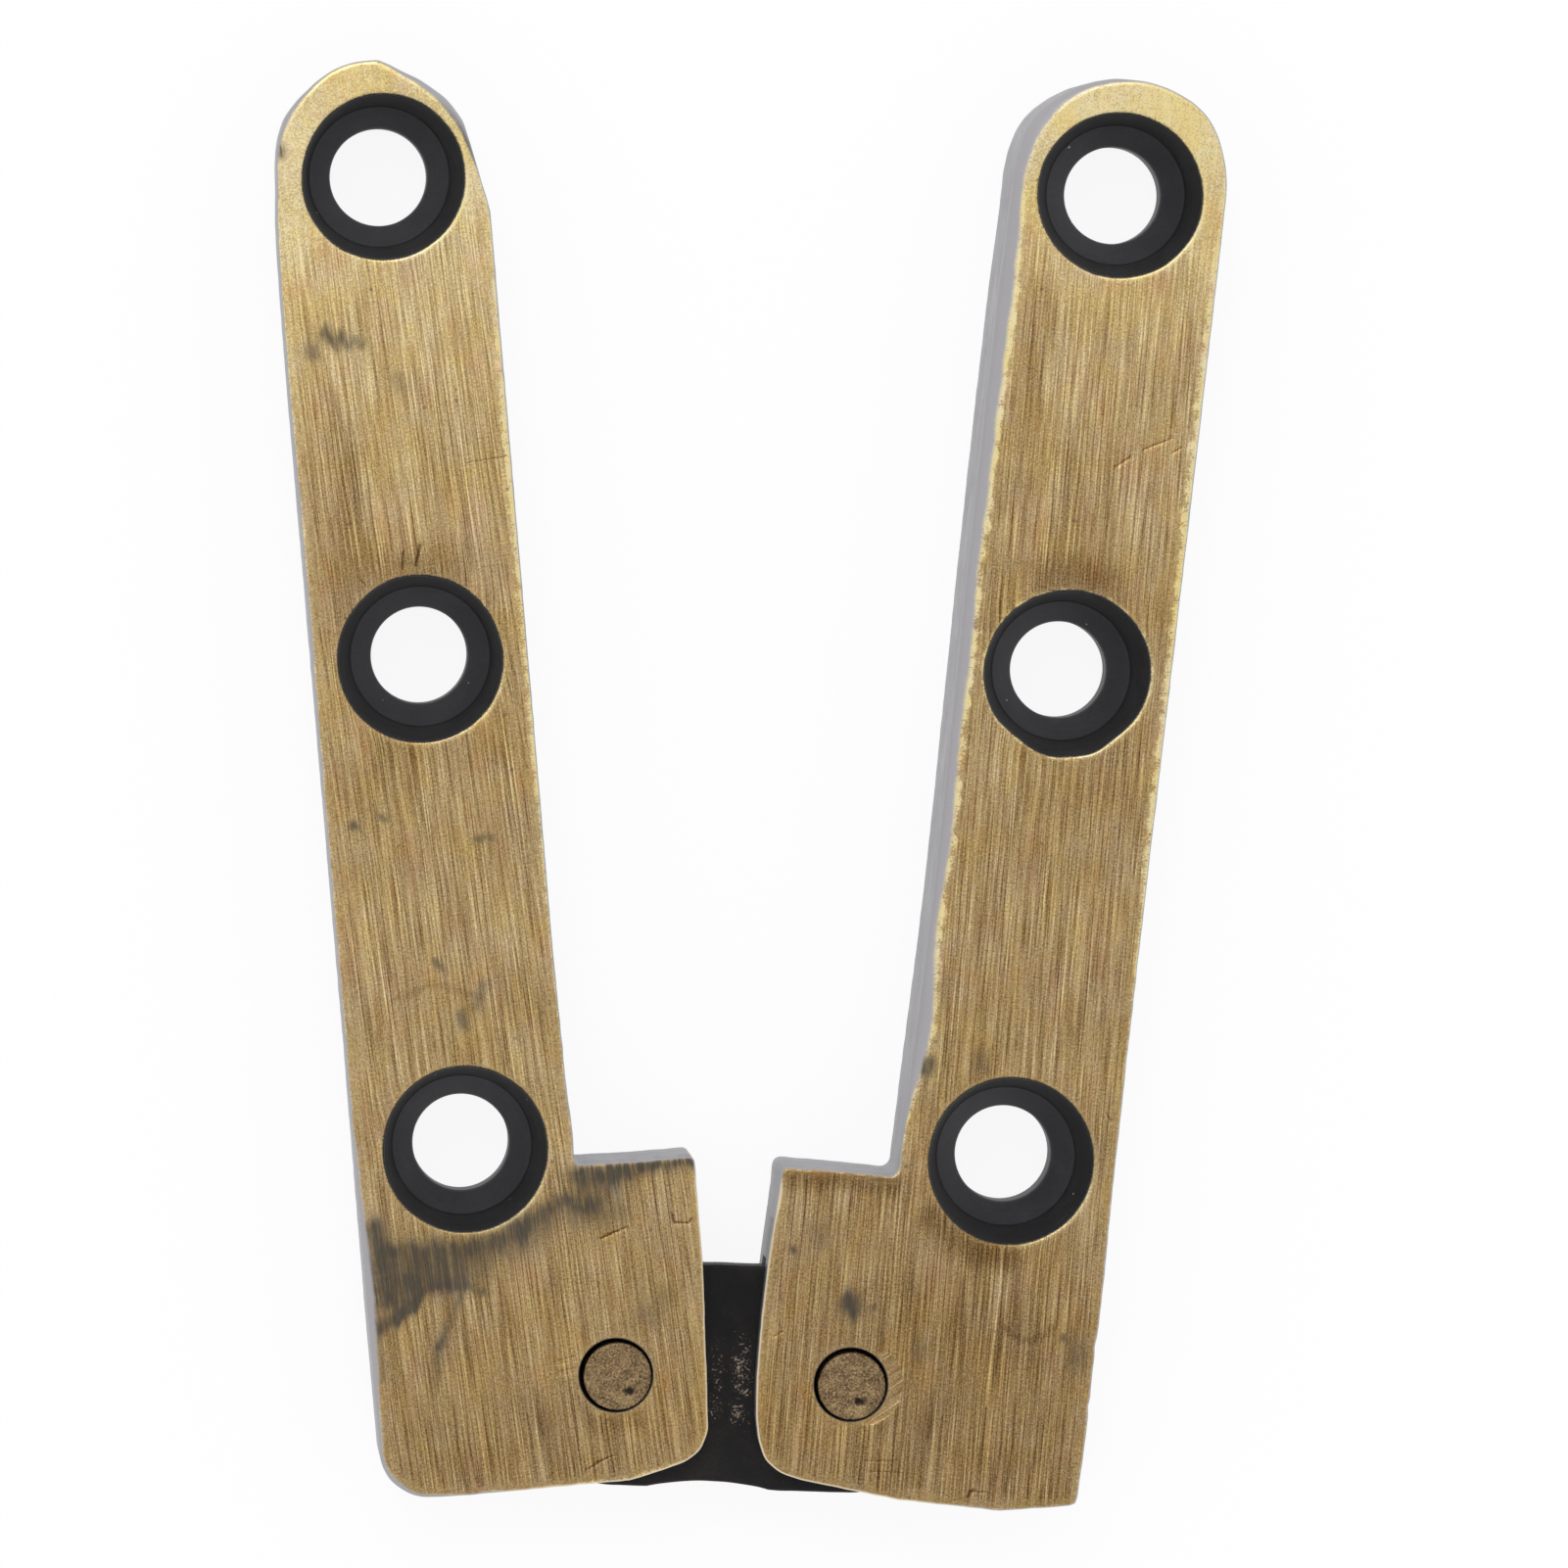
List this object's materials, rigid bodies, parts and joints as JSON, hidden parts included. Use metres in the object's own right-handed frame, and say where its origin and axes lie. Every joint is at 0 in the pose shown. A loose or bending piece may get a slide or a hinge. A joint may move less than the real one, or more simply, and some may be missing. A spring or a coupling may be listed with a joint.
{
  "type": "cabinet flap hinge",
  "caption": "Brass flap hinge: two flat leaves with countersunk screw holes and slotted feet, joined by a dark link plate on pins, so the leaves fold side by side or open flat.",
  "frame": {"origin": "axis of the fixed leaf's middle screw hole, at the back face", "axes": "+Z along that hole towards the countersunk front, +Y along the fixed leaf's arm towards its round tip, +X towards the moving leaf"},
  "size_m": [0.0489, 0.0775, 0.006],
  "materials": {
    "leaf_brass": "blackened all over, then linished on the front face to a brushed antique gold",
    "link_black": "blackened, with a few bright specks",
    "pin_brass": "brown, pitted by hammering at the ends"
  },
  "bodies": {
    "fixed_leaf": {"fixed_leaf": "leaf_brass", "fixed_pin": "pin_brass"},
    "link": {"link_plate": "link_black"},
    "moving_leaf": {"moving_leaf": "leaf_brass", "moving_pin": "pin_brass"}
  },
  "joints": [
    {"name": "link_pivot", "type": "hinge", "parent": "fixed_leaf", "child": "link", "pos_m": [0.0069, -0.03765, 0.003], "axis": [0, 0, -1], "range_deg": [-7.25, 82.75]},
    {"name": "leaf_pivot", "type": "hinge", "parent": "link", "child": "moving_leaf", "pos_m": [0.01883, -0.03917, 0.003], "axis": [0, 0, -1], "range_deg": [-4, 86]}
  ]
}
